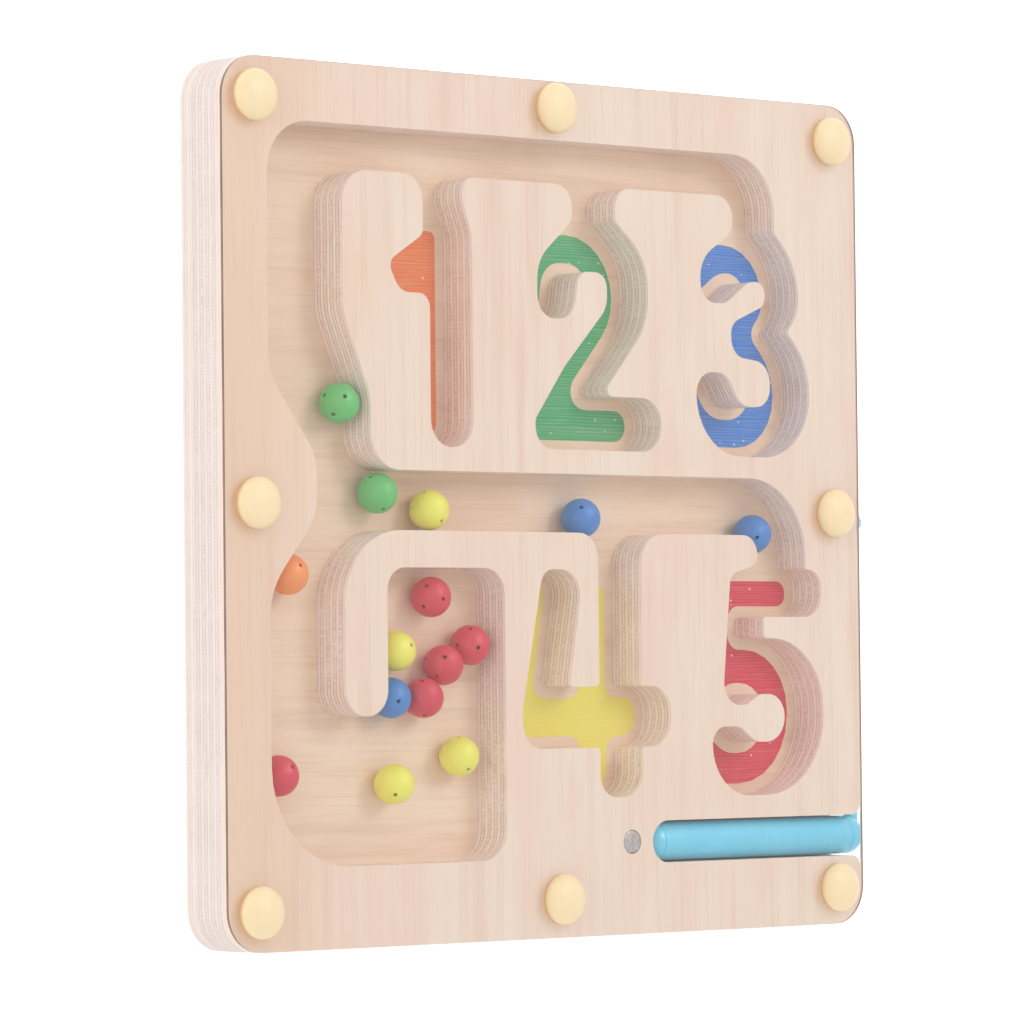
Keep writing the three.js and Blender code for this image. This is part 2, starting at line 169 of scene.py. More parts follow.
def rounded(corners, closed=False):
    """Points of a profile, in millimetres: its corners are (radius, height, fillet)."""
    points = []
    count = len(corners)
    for i, corner in enumerate(corners):
        here = Vector(corner[:2])
        fillet = corner[2] if len(corner) > 2 else 0
        if fillet == 0 or (not closed and i in (0, count - 1)):
            points.append(here)
            continue
        before = (Vector(corners[i - 1][:2]) - here).normalized()
        after = (Vector(corners[(i + 1) % count][:2]) - here).normalized()
        half = before.angle(after) / 2
        reach = fillet / math.tan(half)
        centre = here + (before + after).normalized() * (fillet / math.sin(half))
        start = here + before * reach - centre
        sweep = math.pi - 2 * half
        turn = math.copysign(sweep, start.x * after.y - start.y * after.x)
        steps = max(2, math.ceil(math.degrees(sweep) / ARC_STEP))
        for k in range(steps + 1):
            angle = turn * k / steps
            points.append(
                centre
                + Vector(
                    (
                        start.x * math.cos(angle) - start.y * math.sin(angle),
                        start.x * math.sin(angle) + start.y * math.cos(angle),
                    )
                )
            )
    return [(p.x, p.y) for p in points]


def turned(name, profile, sides, closed=False):
    """A mesh turned about +Z from (radius, height) points in millimetres."""
    bm = bmesh.new()
    rings = []
    for radius, height in profile:
        if radius < 1e-6:
            rings.append([bm.verts.new((0, 0, height * MM))])
            continue
        ring = []
        for k in range(sides):
            angle = 2 * math.pi * k / sides
            x = radius * MM * math.cos(angle)
            y = radius * MM * math.sin(angle)
            ring.append(bm.verts.new((x, y, height * MM)))
        rings.append(ring)
    pairs = list(zip(rings, rings[1:]))
    if closed:
        pairs.append((rings[-1], rings[0]))
    for low, high in pairs:
        for k in range(sides):
            n = (k + 1) % sides
            lower = [low[k % len(low)], low[n % len(low)]]
            upper = [high[n % len(high)], high[k % len(high)]]
            corners = list(dict.fromkeys(lower + upper))
            if len(corners) > 2:
                bm.faces.new(corners)
    mesh = mesh_from(bm, name)
    shade(mesh)
    return mesh


def applied(obj):
    """The object's mesh with its modifiers applied, and the object removed."""
    bpy.context.view_layer.update()
    graph = bpy.context.evaluated_depsgraph_get()
    mesh = bpy.data.meshes.new_from_object(obj.evaluated_get(graph))
    bpy.data.objects.remove(obj)
    return mesh


def finished_copy(node, name, bevel, segments=3, lift=0.0):
    """A copy of a CAD node with welded faces and rounded edges.

    Its underside is raised by the lift, which keeps a gap to what lies below.
    """
    bm = bmesh.new()
    bm.from_mesh(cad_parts[node].data)
    bmesh.ops.remove_doubles(bm, verts=bm.verts, dist=WELD)
    bmesh.ops.dissolve_limit(bm, angle_limit=FLAT_ANGLE, verts=bm.verts, edges=bm.edges)
    if lift:
        lowest = min(v.co.z for v in bm.verts)
        for v in bm.verts:
            if v.co.z - lowest < LEVEL:
                v.co.z += lift
    mesh = mesh_from(bm, name)
    made = add_object(name, mesh)
    if bevel:
        edge = made.modifiers.new("rounded_edges", "BEVEL")
        edge.width = bevel
        edge.segments = segments
        edge.limit_method = "ANGLE"
        edge.angle_limit = BEVEL_ANGLE
        edge.use_clamp_overlap = True
        mesh = applied(made)
        mesh.name = name
        made = add_object(name, mesh)
    shade(made.data, 50)
    even_faces(made)
    return made


# ---------- node helpers ----------


def add_node(tree, kind, inputs=None, **settings):
    made = tree.nodes.new("ShaderNode" + kind)
    for key, value in settings.items():
        setattr(made, key, value)
    for key, value in (inputs or {}).items():
        if isinstance(value, bpy.types.NodeSocket):
            tree.links.new(value, made.inputs[key])
        else:
            made.inputs[key].default_value = value
    return made


def calc(tree, operation, *values, clamp=False):
    inputs = dict(enumerate(values))
    made = add_node(tree, "Math", inputs, operation=operation, use_clamp=clamp)
    return made.outputs[0]


def times(tree, a, b):
    return calc(tree, "MULTIPLY", a, b)


def plus(tree, a, b, clamp=False):
    return calc(tree, "ADD", a, b, clamp=clamp)


def minus(tree, a, b):
    return calc(tree, "SUBTRACT", a, b)


def size_of(tree, a):
    return calc(tree, "ABSOLUTE", a)


def mixed(tree, share, low, high):
    made = add_node(tree, "Mix", data_type="RGBA")
    for key, value in (("Factor", share), (6, low), (7, high)):
        if isinstance(value, bpy.types.NodeSocket):
            tree.links.new(value, made.inputs[key])
        else:
            made.inputs[key].default_value = value
    return made.outputs[2]


def spread(tree, value, low, high, to_low=0.0, to_high=1.0, smooth=True):
    """Maps low..high onto to_low..to_high, and holds the ends."""
    inputs = {0: value, 1: low, 2: high, 3: to_low, 4: to_high}
    kind = "SMOOTHSTEP" if smooth else "LINEAR"
    return add_node(tree, "MapRange", inputs, interpolation_type=kind).outputs[0]


def scaled(tree, vector, factors):
    made = add_node(tree, "VectorMath", {0: vector, 1: factors}, operation="MULTIPLY")
    return made.outputs[0]


def noise(tree, vector, scale, detail=2.0, roughness=0.5):
    inputs = {"Vector": vector, "Scale": scale, "Detail": detail, "Roughness": roughness}
    return add_node(tree, "TexNoise", inputs).outputs["Fac"]


def srgb(text):
    """A linear colour from six hexadecimal digits."""
    channels = [int(text[i : i + 2], 16) / 255 for i in (0, 2, 4)]
    dark = [c / 12.92 for c in channels]
    light = [((c + 0.055) / 1.055) ** 2.4 for c in channels]
    linear = [d if c <= 0.04045 else b for c, d, b in zip(channels, dark, light)]
    return (*linear, 1.0)


def new_group(name, inputs, outputs):
    """An effect that several materials share: inputs are (name, kind, value)."""
    tree = bpy.data.node_groups.new(name, "ShaderNodeTree")
    for label, kind, value in inputs:
        socket = "NodeSocket" + kind
        made = tree.interface.new_socket(label, in_out="INPUT", socket_type=socket)
        made.default_value = value
    for label, kind in outputs:
        socket = "NodeSocket" + kind
        tree.interface.new_socket(label, in_out="OUTPUT", socket_type=socket)
    entry = tree.nodes.new("NodeGroupInput")
    leave = tree.nodes.new("NodeGroupOutput")
    return tree, entry.outputs, leave.inputs


SURFACE = [("Color", "Color"), ("Roughness", "Float"), ("Height", "Float")]

# An edge is on the board's outside past this X or Y, or past this sum of the two.
SIDE_REACH = 0.1485
CORNER_REACH = 0.285


def plywood_effect():
    """Veneer grain on the faces, plies and glue lines on the edges, and a painted highlight
    along the rounded arrises.

    Turn 0 runs the grain along Y, and 1 along X.
    """
    tree, given, out = new_group(
        "plywood",
        [
            ("Face Pale", "Color", srgb("efdcc9")),
            ("Face Warm", "Color", srgb("e6c8b0")),
            ("Face Line", "Color", srgb("cfa98c")),
            ("Face Deep", "Color", srgb("e6c8b0")),
            ("Edge Pale", "Color", srgb("ead9c8")),
            ("Edge Dark", "Color", srgb("b5917a")),
            ("Side Pale", "Color", srgb("f6eae4")),
            ("Side Dark", "Color", srgb("e0d0c8")),
            ("Arris Highlight", "Color", srgb("fff0e4")),
            ("Turn", "Float", 0.0),
            ("Ply", "Float", 1.67 * MM),
            ("Start", "Float", 4.5 * MM),
        ],
        SURFACE,
    )
    coords = add_node(tree, "TexCoord")
    place = coords.outputs["Object"]
    axes = add_node(tree, "SeparateXYZ", {0: place})
    x, y, z = axes.outputs
    turn = given["Turn"]
    kept = minus(tree, 1.0, turn)
    across = plus(tree, times(tree, x, kept), times(tree, y, turn))
    along = plus(tree, times(tree, y, kept), times(tree, x, turn))
    layer = times(tree, given["Start"], 40.0)
    sheet = add_node(tree, "CombineXYZ", {0: across, 1: along, 2: layer}).outputs[0]
    wide = noise(tree, scaled(tree, sheet, (1, 0.08, 1)), 26, 3, 0.55)
    veneer = noise(tree, scaled(tree, sheet, (1, 0.035, 1)), 160, 3, 0.6)
    fine = noise(tree, scaled(tree, sheet, (1, 0.02, 1)), 900, 3, 0.6)
    hair = noise(tree, scaled(tree, sheet, (1, 0.025, 1)), 2300, 2, 0.6)
    cloud = noise(tree, sheet, 14, 2, 0.5)
    broad = plus(tree, times(tree, wide, 0.55), times(tree, cloud, 0.45))
    warm = spread(tree, broad, 0.38, 0.62)
    flame = noise(tree, scaled(tree, sheet, (1, 0.22, 1)), 75, 3, 0.55)
    flames = spread(tree, flame, 0.42, 0.62, 0.0, 0.5)
    warm = plus(tree, times(tree, warm, 0.6), flames, clamp=True)
    face = mixed(tree, warm, given["Face Pale"], given["Face Warm"])
    drift = plus(tree, x, times(tree, minus(tree, cloud, 0.5), 0.09))
    deepening = spread(tree, drift, -0.15, -0.07, 0.6, 0.0)
    face = mixed(tree, deepening, face, given["Face Deep"])
    pores = spread(tree, hair, 0.62, 0.78, 0.0, 0.4)
    broad_lines = spread(tree, veneer, 0.5, 0.75, 0.0, 0.3)
    fine_lines = spread(tree, fine, 0.5, 0.75, 0.0, 0.3)
    for marks in (broad_lines, fine_lines, pores):
        face = mixed(tree, marks, face, given["Face Line"])
    # edges: plies counted up from the sheet's underside, parted by darker lines
    wobble = noise(tree, scaled(tree, place, (1, 1, 0.2)), 60, 2, 0.5)
    waver = times(tree, minus(tree, wobble, 0.5), 0.0004)
    height = plus(tree, minus(tree, z, given["Start"]), waver)
    ply = calc(tree, "DIVIDE", height, given["Ply"])
    part = calc(tree, "FRACT", ply)
    odd = calc(tree, "PINGPONG", calc(tree, "FLOOR", ply), 1.0)
    off_centre = size_of(tree, minus(tree, part, 0.5))
    glue = spread(tree, off_centre, 0.2, 0.42)
    end_grain = noise(tree, scaled(tree, place, (1, 1, 0.35)), 1500, 2, 0.7)
    patches = noise(tree, scaled(tree, place, (1, 1, 0.5)), 90, 2, 0.6)
    long_grain = noise(tree, scaled(tree, place, (0.04, 0.04, 1)), 1900, 2, 0.6)
    lines = times(tree, glue, spread(tree, patches, 0.3, 0.7, 0.3, 0.75))
    specks = spread(tree, end_grain, 0.35, 0.65, 0.05, 0.45)
    speckle = times(tree, plus(tree, odd, 0.3), specks)
    grain = spread(tree, long_grain, 0.35, 0.7, 0.0, 0.2)
    stain = noise(tree, scaled(tree, place, (1, 1, 4)), 130, 3, 0.6)
    grain = plus(tree, grain, spread(tree, stain, 0.55, 0.75, 0.0, 0.35))
    dark = plus(tree, plus(tree, lines, speckle), grain, clamp=True)
    edge = mixed(tree, dark, given["Edge Pale"], given["Edge Dark"])
    side = mixed(tree, dark, given["Side Pale"], given["Side Dark"])
    reach = calc(tree, "MAXIMUM", size_of(tree, x), size_of(tree, y))
    corner = plus(tree, size_of(tree, x), size_of(tree, y))
    past_side = calc(tree, "GREATER_THAN", reach, SIDE_REACH)
    past_corner = calc(tree, "GREATER_THAN", corner, CORNER_REACH)
    outside = calc(tree, "MAXIMUM", past_side, past_corner)
    # The channel walls keep the edge colours, paler than the face and the outer sides: partly
    # the wood's real tone, partly painted light against the shade in the channels.
    edge = mixed(tree, outside, edge, side)
    normal = add_node(tree, "SeparateXYZ", {0: coords.outputs["Normal"]})
    flat = spread(tree, size_of(tree, normal.outputs[2]), 0.85, 0.97)
    steep = minus(tree, 1.0, flat)
    # Painted highlight: the rounded arris between a face and an edge takes a paler colour.
    arris = times(tree, spread(tree, normal.outputs[2], 0.15, 0.4), steep)
    edge = mixed(tree, arris, edge, given["Arris Highlight"])
    tree.links.new(mixed(tree, flat, edge, face), out["Color"])
    rough = plus(tree, spread(tree, fine, 0.3, 0.8, 0.48, 0.64), times(tree, steep, 0.14))
    tree.links.new(rough, out["Roughness"])
    face_height = minus(tree, times(tree, fine, 0.5), times(tree, pores, 0.8))
    edge_height = minus(tree, times(tree, end_grain, 0.6), times(tree, glue, 0.7))
    inputs = {"Factor": flat, 2: edge_height, 3: face_height}
    relief = add_node(tree, "Mix", inputs, data_type="FLOAT")
    tree.links.new(relief.outputs[0], out["Height"])
    return tree


def moulded_effect():
    """Faint mottling, an orange-peel skin and rare rub marks of moulded plastic."""
    tree, given, out = new_group(
        "moulded_skin",
        [
            ("Colour", "Color", srgb("ffffff")),
            ("Deep", "Color", srgb("808080")),
            ("Gloss", "Float", 0.35),
        ],
        SURFACE,
    )
    place = add_node(tree, "TexCoord").outputs["Object"]
    mottle = noise(tree, place, 160, 3, 0.6)
    cloud = noise(tree, place, 45, 2, 0.5)
    rubs = noise(tree, scaled(tree, place, (1, 0.12, 1)), 900, 3, 0.6)
    mottling = spread(tree, mottle, 0.35, 0.7, 0.0, 0.16)
    clouding = spread(tree, cloud, 0.35, 0.7, 0.0, 0.16)
    rubbing = spread(tree, rubs, 0.45, 0.7, 0.0, 0.16)
    tone = plus(tree, plus(tree, mottling, clouding), rubbing)
    tree.links.new(mixed(tree, tone, given["Colour"], given["Deep"]), out["Color"])
    worn = plus(tree, given["Gloss"], spread(tree, rubs, 0.55, 0.8, 0.0, 0.16))
    uneven = spread(tree, mottle, 0.3, 0.7, -0.03, 0.05)
    tree.links.new(plus(tree, worn, uneven), out["Roughness"])
    peel = noise(tree, place, 1100, 2, 0.5)
    tree.links.new(plus(tree, times(tree, peel, 0.5), times(tree, rubs, 0.3)), out["Height"])
    return tree


def ink_effect():
    """A thin coat of ink: the grain shows through as fine lines, with rare bare specks."""
    tree, given, out = new_group(
        "printed_ink",
        [
            ("Ink", "Color", srgb("ffffff")),
            ("Wood", "Color", srgb("e2c8aa")),
            ("Specks", "Float", 0.5),
        ],
        SURFACE,
    )
    place = add_node(tree, "TexCoord").outputs["Object"]
    along = add_node(tree, "SeparateXYZ", {0: place}).outputs[1]
    bands = noise(tree, scaled(tree, place, (0.06, 1, 1)), 320, 2, 0.5)
    bent = plus(tree, times(tree, along, 5900.0), times(tree, bands, 16.0))
    ridges = spread(tree, calc(tree, "SINE", bent), -0.6, 1.0)
    scratch = noise(tree, scaled(tree, place, (0.05, 1, 1)), 2600, 2, 0.6)
    lines = times(tree, ridges, spread(tree, scratch, 0.3, 0.65, 0.3, 1.0))
    thin = plus(tree, times(tree, lines, 0.34), spread(tree, bands, 0.4, 0.7, 0.0, 0.05))
    colour = mixed(tree, thin, given["Ink"], given["Wood"])
    dots = add_node(tree, "TexVoronoi", {"Vector": place, "Scale": 420.0, "Randomness": 1.0})
    chance = add_node(tree, "SeparateColor", {0: dots.outputs["Color"]}).outputs[0]
    near = spread(tree, dots.outputs["Distance"], 0.10, 0.2, 1.0, 0.0)
    limit = minus(tree, 1.0, times(tree, given["Specks"], 0.12))
    bare = times(tree, near, calc(tree, "GREATER_THAN", chance, limit))
    speckled = mixed(tree, times(tree, bare, 0.85), colour, srgb("fbf3ea"))
    tree.links.new(speckled, out["Color"])
    tree.links.new(spread(tree, lines, 0.0, 0.8, 0.5, 0.66), out["Roughness"])
    tree.links.new(minus(tree, times(tree, lines, 0.6), bare), out["Height"])
    return tree


def steel_effect():
    """Drawn grain and small dull spots of bare steel."""
    tree, given, out = new_group(
        "satin_steel",
        [
            ("Bright", "Color", srgb("c4c0bc")),
            ("Dull", "Color", srgb("908c88")),
            ("Speckle", "Float", 0.5),
        ],
        SURFACE,
    )
    place = add_node(tree, "TexCoord").outputs["Object"]
    grain = noise(tree, scaled(tree, place, (1, 0.05, 1)), 2600, 3, 0.7)
    spots = spread(tree, noise(tree, place, 1300, 3, 0.7), 0.42, 0.62)
    spots = times(tree, spots, given["Speckle"])
    tone = plus(tree, spread(tree, grain, 0.35, 0.7, 0.0, 0.35), spots, clamp=True)
    tree.links.new(mixed(tree, tone, given["Bright"], given["Dull"]), out["Color"])
    tree.links.new(spread(tree, grain, 0.3, 0.75, 0.3, 0.5), out["Roughness"])
    tree.links.new(grain, out["Height"])
    return tree


PLYWOOD = plywood_effect()
MOULDED = moulded_effect()
INK = ink_effect()
STEEL = steel_effect()


# ---------- materials ----------


def new_material(name, **sockets):
    """An empty material with its Principled shader set up, as (material, tree, shader)."""
    material = bpy.data.materials.new(name)
    material.use_nodes = True
    tree = material.node_tree
    shader = tree.nodes["Principled BSDF"]
    for label, value in sockets.items():
        shader.inputs[label.replace("_", " ")].default_value = value
    return material, tree, shader


def use_effect(tree, shader, effect, values, bump, distance=0.0002):
    """Places a shared effect and feeds its colour, roughness and height into the shader."""
    made = tree.nodes.new("ShaderNodeGroup")
    made.node_tree = effect
    for label, value in values.items():
        made.inputs[label].default_value = value
    tree.links.new(made.outputs["Color"], shader.inputs["Base Color"])
    tree.links.new(made.outputs["Roughness"], shader.inputs["Roughness"])
    inputs = {"Strength": bump, "Distance": distance, "Height": made.outputs["Height"]}
    relief = add_node(tree, "Bump", inputs)
    tree.links.new(relief.outputs[0], shader.inputs["Normal"])
    return made


def maze_ply():
    material, tree, shader = new_material("maze_plywood", Coat_Weight=0.08, Coat_Roughness=0.35)
    values = {
        "Face Pale": srgb("f1dac7"),
        "Face Warm": srgb("efcfbc"),
        "Face Line": srgb("dcb197"),
        "Face Deep": srgb("e9be9c"),
        # The pale edge colours are partly painted light for the shaded channel walls.
        "Edge Pale": srgb("fdf0e7"),
        "Edge Dark": srgb("dcbfae"),
        "Side Pale": srgb("e9dcd5"),
        "Side Dark": srgb("d3c3bd"),
        "Arris Highlight": srgb("fff3ea"),
        "Turn": 0.0,
        "Ply": (MAZE_TOP - BACK_T) / 9,
        "Start": BACK_T,
    }
    use_effect(tree, shader, PLYWOOD, values, 0.25)
    return material


def back_ply():
    material, tree, shader = new_material("back_plywood", Coat_Weight=0.06, Coat_Roughness=0.4)
    values = {
        "Face Pale": srgb("f6dbc3"),
        "Face Warm": srgb("eccbb0"),
        "Face Deep": srgb("eccbb0"),
        "Face Line": srgb("cfa688"),
        "Edge Pale": srgb("fbf0e6"),
        "Edge Dark": srgb("dcc4b0"),
        "Side Pale": srgb("eee2da"),
        "Side Dark": srgb("dccdc5"),
        "Arris Highlight": srgb("fdf1e8"),
        "Turn": 1.0,
        "Ply": BACK_T / 3,
        "Start": 0.0,
    }
    use_effect(tree, shader, PLYWOOD, values, 0.25)
    return material


def moulded(name, colour, deep, gloss, bump=0.15, **sockets):
    material, tree, shader = new_material(name, **sockets)
    values = {"Colour": srgb(colour), "Deep": srgb(deep), "Gloss": gloss}
    use_effect(tree, shader, MOULDED, values, bump, 0.00005)
    return material


def printed(name, colour, wood, specks):
    material, tree, shader = new_material(name)
    values = {"Ink": srgb(colour), "Wood": srgb(wood), "Specks": specks}
    use_effect(tree, shader, INK, values, 0.3, 0.00006)
    return material


def pass_light(tree, shader, tint=(0.97, 0.975, 0.975, 1), share=1.0):
    """Lets a share of the lamps and soft light through, tinted, so what lies below is lit."""
    path = add_node(tree, "LightPath").outputs
    passing = calc(tree, "MAXIMUM", path["Is Shadow Ray"], path["Is Diffuse Ray"])
    passing = times(tree, passing, share)
    open_air = add_node(tree, "BsdfTransparent", {"Color": tint})
    inputs = {0: passing, 1: shader.outputs[0], 2: open_air.outputs[0]}
    both = add_node(tree, "MixShader", inputs)
    tree.links.new(both.outputs[0], tree.nodes["Material Output"].inputs["Surface"])


def clear_acrylic():
    """Clear sheet with faint smudges. Lamps and soft light reach what lies below it."""
    material, tree, shader = new_material(
        "clear_acrylic", Base_Color=srgb("fdfefe"), IOR=1.49, Transmission_Weight=1.0
    )
    place = add_node(tree, "TexCoord").outputs["Object"]
    smudge = noise(tree, place, 22, 3, 0.55)
    tree.links.new(spread(tree, smudge, 0.45, 0.75, 0.0, 0.05), shader.inputs["Roughness"])
    pass_light(tree, shader)
    return material


def cut_rim():
    """The clear sheet's sawn edge: milky low down, with a dark line of painted shade under its
    top arris.
    """
    material, tree, shader = new_material(
        "acrylic_cut_rim", Coat_Weight=0.5, Coat_Roughness=0.15
    )
    place = add_node(tree, "TexCoord").outputs["Object"]
    height = add_node(tree, "SeparateXYZ", {0: place}).outputs[2]
    patches = noise(tree, place, 45, 2, 0.5)
    marks = noise(tree, scaled(tree, place, (1, 1, 0.1)), 2200, 2, 0.6)
    shift = times(tree, minus(tree, patches, 0.5), 0.0004)
    uneven_height = plus(tree, height, shift)
    # Painted shade: a dark brown-grey band just under the top arris, placed by this mask.
    line = spread(tree, uneven_height, COVER_TOP - 0.0013, COVER_TOP - 0.001)
    saw_marks = spread(tree, marks, 0.35, 0.65, 0.0, 0.35)
    milky = mixed(tree, saw_marks, srgb("f2d4c4"), srgb("e2bfb0"))
    painted_shade_band = mixed(tree, spread(tree, patches, 0.35, 0.65), srgb("7c6759"), srgb("6a584f"))
    tree.links.new(mixed(tree, line, milky, painted_shade_band), shader.inputs["Base Color"])
    tree.links.new(spread(tree, marks, 0.3, 0.7, 0.25, 0.45), shader.inputs["Roughness"])
    relief = add_node(tree, "Bump", {"Strength": 0.15, "Distance": 0.00005, "Height": marks})
    tree.links.new(relief.outputs[0], shader.inputs["Normal"])
    pass_light(tree, shader)
    return material


def satin_steel(name, colour, speckle=0.5):
    material, tree, shader = new_material(name, Metallic=1.0)
    bright = srgb(colour)
    dull = tuple(c * 0.55 for c in bright[:3]) + (1.0,)
    values = {"Bright": bright, "Dull": dull, "Speckle": speckle}
    use_effect(tree, shader, STEEL, values, 0.2, 0.00003)
    return material


def cap_cream():
    """Cream plastic with painted shade: a warm brown down the side of the cap, towards the
    cover.
    """
    material, tree, shader = new_material(
        "cream_plastic", Subsurface_Weight=0.15, Subsurface_Scale=0.003
    )
    values = {"Colour": srgb("f7e0b8"), "Deep": srgb("e9d39a"), "Gloss": 0.42}
    skin = use_effect(tree, shader, MOULDED, values, 0.15, 0.00005)
    place = add_node(tree, "TexCoord").outputs["Object"]
    height = add_node(tree, "SeparateXYZ", {0: place}).outputs[2]
    # Painted shade: the cap's side darkens to a warm brown towards the cover.
    low = spread(tree, height, COVER_TOP + 0.0002, COVER_TOP + 0.0022, 0.85, 0.0)
    warm = mixed(tree, low, skin.outputs["Color"], srgb("d9ad74"))
    tree.links.new(warm, shader.inputs["Base Color"])
    pass_light(tree, shader, (0.97, 0.88, 0.76, 1), 0.75)
    return material


def braided_yarn():
    """Fine fibres over the braid that the cord's mesh has."""
    material, tree, shader = new_material("cord_braid", Sheen_Weight=0.25, Sheen_Roughness=0.5)
    place = add_node(tree, "TexCoord").outputs["Object"]
    fibres = noise(tree, place, 5200, 3, 0.7)
    shade_patches = noise(tree, place, 300, 2, 0.5)
    fibre_shade = spread(tree, fibres, 0.35, 0.7, 0.0, 0.35)
    patch_shade = spread(tree, shade_patches, 0.4, 0.7, 0.0, 0.25)
    blue = mixed(tree, plus(tree, fibre_shade, patch_shade), srgb("b4dcec"), srgb("7fb2cb"))
    tree.links.new(blue, shader.inputs["Base Color"])
    tree.links.new(spread(tree, fibres, 0.3, 0.7, 0.7, 0.92), shader.inputs["Roughness"])
    relief = add_node(tree, "Bump", {"Strength": 0.5, "Distance": 0.00006, "Height": fibres})
    tree.links.new(relief.outputs[0], shader.inputs["Normal"])
    return material


def dress(obj, material):
    obj.data.materials.clear()
    obj.data.materials.append(material)


# ---------- the cord ----------

CORD_R = 0.9
CORD_SIDES = 16
CORD_STEP = 0.45
BRAID_PITCH = 5.4
BRAID_STRANDS = 4
BRAID_DEPTH = 0.1
CORD_ROUTE = [
    (159.3, -4, 11),
    (161.2, -3.8, 10.8),
    (163.2, -2.7, 9.3),
    (165, -0.2, 6.4),
    (166, 4, 3.6),
    (166.5, 9, 1.9),
    (166.8, 15, 1.3),
    (167, 26, 1.2),
    (167.3, 42, 1.2),
    (167.2, 58, 1.2),
    (166.6, 68, 1.2),
    (164.6, 72.4, 1.2),
    (161.4, 74, 1.2),
    (158.2, 72.4, 1.2),
    (156.4, 68, 1.2),
    (156, 56, 1.2),
    (156.3, 38, 1.2),
    (156, 20, 1.2),
    (155.4, 0, 1.2),
    (155.9, -20, 1.2),
    (157.2, -40, 1.2),
    (157.8, -58, 1.2),
    (157.2, -71, 1.3),
    (156.3, -80, 2.2),
    (154.8, -88, 4.8),
    (153.7, -94.5, 8.6),
    (153.1, -100, 11.2),
    (153, -105.2, 11.8),
]


def smooth_route(points, pieces=12):
    """A smooth curve through the given points, timed by the square root of their gaps."""
    spots = [Vector(p) for p in points]
    spots = [2 * spots[0] - spots[1], *spots, 2 * spots[-1] - spots[-2]]
    line = []
    for a, b, c, d in zip(spots, spots[1:], spots[2:], spots[3:]):
        t0 = 0.0
        t1 = t0 + math.sqrt((b - a).length)
        t2 = t1 + math.sqrt((c - b).length)
        t3 = t2 + math.sqrt((d - c).length)
        for k in range(pieces):
            t = t1 + (t2 - t1) * k / pieces
            ab = a * ((t1 - t) / (t1 - t0)) + b * ((t - t0) / (t1 - t0))
            bc = b * ((t2 - t) / (t2 - t1)) + c * ((t - t1) / (t2 - t1))
            cd = c * ((t3 - t) / (t3 - t2)) + d * ((t - t2) / (t3 - t2))
            abc = ab * ((t2 - t) / (t2 - t0)) + bc * ((t - t0) / (t2 - t0))
            bcd = bc * ((t3 - t) / (t3 - t1)) + cd * ((t - t1) / (t3 - t1))
            line.append(abc * ((t2 - t) / (t2 - t1)) + bcd * ((t - t1) / (t2 - t1)))
    line.append(spots[-2])
    return line


def even_steps(line, step):
    """The same line resampled at even steps, with its real length."""
    lengths = [0.0]
    for a, b in zip(line, line[1:]):
        lengths.append(lengths[-1] + (b - a).length)
    count = round(lengths[-1] / step)
    spots = []
    i = 0
    for k in range(count + 1):
        want = lengths[-1] * k / count
        while i < len(line) - 2 and lengths[i + 1] < want:
            i += 1
        share = (want - lengths[i]) / (lengths[i + 1] - lengths[i])
        spots.append(line[i].lerp(line[i + 1], share))
    return spots, lengths[-1]


def braided_cord():
    """A round braid: strands cross over each other in both directions round a tube."""
    line, length = even_steps(smooth_route(CORD_ROUTE), CORD_STEP)
    bm = bmesh.new()
    rings = []
    tangent = (line[1] - line[0]).normalized()
    side = tangent.cross(Vector((0, 0, 1))).normalized()
    for i, spot in enumerate(line):
        ahead = (line[min(i + 1, len(line) - 1)] - line[max(i - 1, 0)]).normalized()
        side = (side - ahead * side.dot(ahead)).normalized()
        up = ahead.cross(side)
        ring = []
        for k in range(CORD_SIDES):
            angle = 2 * math.pi * k / CORD_SIDES
            twist = 2 * math.pi * i * CORD_STEP / BRAID_PITCH
            one = math.cos(BRAID_STRANDS * (angle + twist / 2))
            other = math.cos(BRAID_STRANDS * (angle - twist / 2))
            radius = CORD_R - BRAID_DEPTH * (1 - max(one, other)) / 2
            offset = side * math.cos(angle) * radius + up * math.sin(angle) * radius
            ring.append(bm.verts.new((spot + offset) * MM))
        rings.append(ring)
    for low, high in zip(rings, rings[1:]):
        for k in range(CORD_SIDES):
            n = (k + 1) % CORD_SIDES
            bm.faces.new((low[k], low[n], high[n], high[k]))
    bm.faces.new(rings[0])
    bm.faces.new(rings[-1])
    mesh = mesh_from(bm, "tether_braid")
    shade(mesh, 60)
    made = add_object("tether_braid", mesh)
    dress(made, braided_yarn())
    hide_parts("tether_cord")
    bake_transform(made)


braided_cord()

# ---------- floor, light and air ----------

FLOOR_REACH = 8
FLOOR_DROP = 0.0001
AIR_STRENGTH = 0.86
# For each lamp: where it stands, its width in metres and its watts.
LAMPS = {
    "key_lamp": ((0.85, 1.15, 2.2), 1.0, 13),
    "fill_lamp": ((-1.9, 0.3, 0.9), 1.2, 4.5),
}


def make_stage():
    bm = bmesh.new()
    corners = [(-1, -1), (1, -1), (1, 1), (-1, 1)]
    spots = [(x * FLOOR_REACH, y * FLOOR_REACH, -FLOOR_DROP) for x, y in corners]
    bm.faces.new([bm.verts.new(spot) for spot in spots])
    floor = add_object("studio_floor", mesh_from(bm, "studio_floor"))
    material, tree, shader = new_material(
        "studio_floor_paint", Roughness=0.9, Emission_Color=(1, 1, 1, 1), Emission_Strength=0.3
    )
    place = add_node(tree, "TexCoord").outputs["Object"]
    tree.links.new(
        mixed(tree, noise(tree, place, 3, 2, 0.5), srgb("fbfbfb"), srgb("ffffff")),
        shader.inputs["Base Color"],
    )
    dress(floor, material)


def make_lamp(name, place, size, power):
    """A round soft lamp aimed at the middle of the board."""
    data = bpy.data.lights.new(name, "AREA")
    data.shape = "DISK"
    data.size = size
    data.energy = power
    lamp = bpy.data.objects.new(name, data)
    lamp.location = place
    lamp.rotation_euler = (-Vector(place)).to_track_quat("-Z", "Y").to_euler()
    bpy.context.scene.collection.objects.link(lamp)


